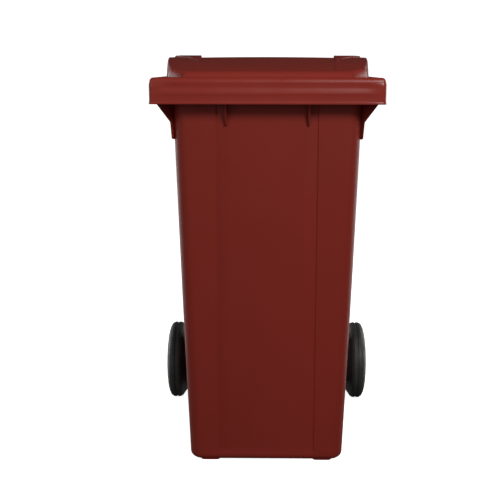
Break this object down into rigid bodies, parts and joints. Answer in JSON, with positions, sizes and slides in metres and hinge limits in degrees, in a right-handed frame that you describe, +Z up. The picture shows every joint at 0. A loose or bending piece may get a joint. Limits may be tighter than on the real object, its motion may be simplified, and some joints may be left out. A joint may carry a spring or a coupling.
{
  "type": "litter bin",
  "caption": "Wheeled litter bin: a tapered moulded tub with a wedge-shaped lid that swings over the back, a rear grab bar and rubber-tyred wheels.",
  "frame": {"origin": "on the ground under the centre of the whole bin's bounding box", "axes": "+Z up, the front faces -Y, the hinge, handle and wheels are at +Y, X runs along the axle"},
  "size_m": [0.52, 0.583, 0.8999],
  "materials": {
    "body_plastic": "moulded, maroon, fine grain",
    "lid_plastic": "moulded, maroon, slightly glossier",
    "black_plastic": "moulded, black",
    "tyre": "solid rubber",
    "rubber": "matt",
    "steel": "zinc plated",
    "nylon": "natural nylon"
  },
  "bodies": {
    "tub": {"tub": "body_plastic", "hinge_pin_left": "black_plastic", "hinge_pin_right": "black_plastic", "axle": "steel", "axle_spacer_left": "black_plastic", "axle_spacer_right": "black_plastic", "thrust_washer_left": "steel", "thrust_washer_right": "steel", "push_ring_left": "steel", "push_ring_right": "steel", "lid_buffer_front_left": "rubber", "lid_buffer_front_right": "rubber", "lid_buffer_side_left": "rubber", "lid_buffer_side_right": "rubber"},
    "lid": {"lid": "lid_plastic"},
    "wheel_left": {"tyre_left": "tyre", "wheel_hub_left": "black_plastic", "wheel_bush_left": "nylon", "hub_cap_left": "black_plastic"},
    "wheel_right": {"tyre_right": "tyre", "wheel_hub_right": "black_plastic", "wheel_bush_right": "nylon", "hub_cap_right": "black_plastic"}
  },
  "joints": [
    {"name": "lid_hinge", "type": "hinge", "parent": "tub", "child": "lid", "pos_m": [0, 0.2565, 0.875], "axis": [-1, 0, 0], "range_deg": [0, 270]},
    {"name": "wheel_left_spin", "type": "hinge", "parent": "tub", "child": "wheel_left", "pos_m": [-0.232, 0.1915, 0.1], "axis": [1, 0, 0], "continuous": true},
    {"name": "wheel_right_spin", "type": "hinge", "parent": "tub", "child": "wheel_right", "pos_m": [0.232, 0.1915, 0.1], "axis": [1, 0, 0], "continuous": true}
  ]
}
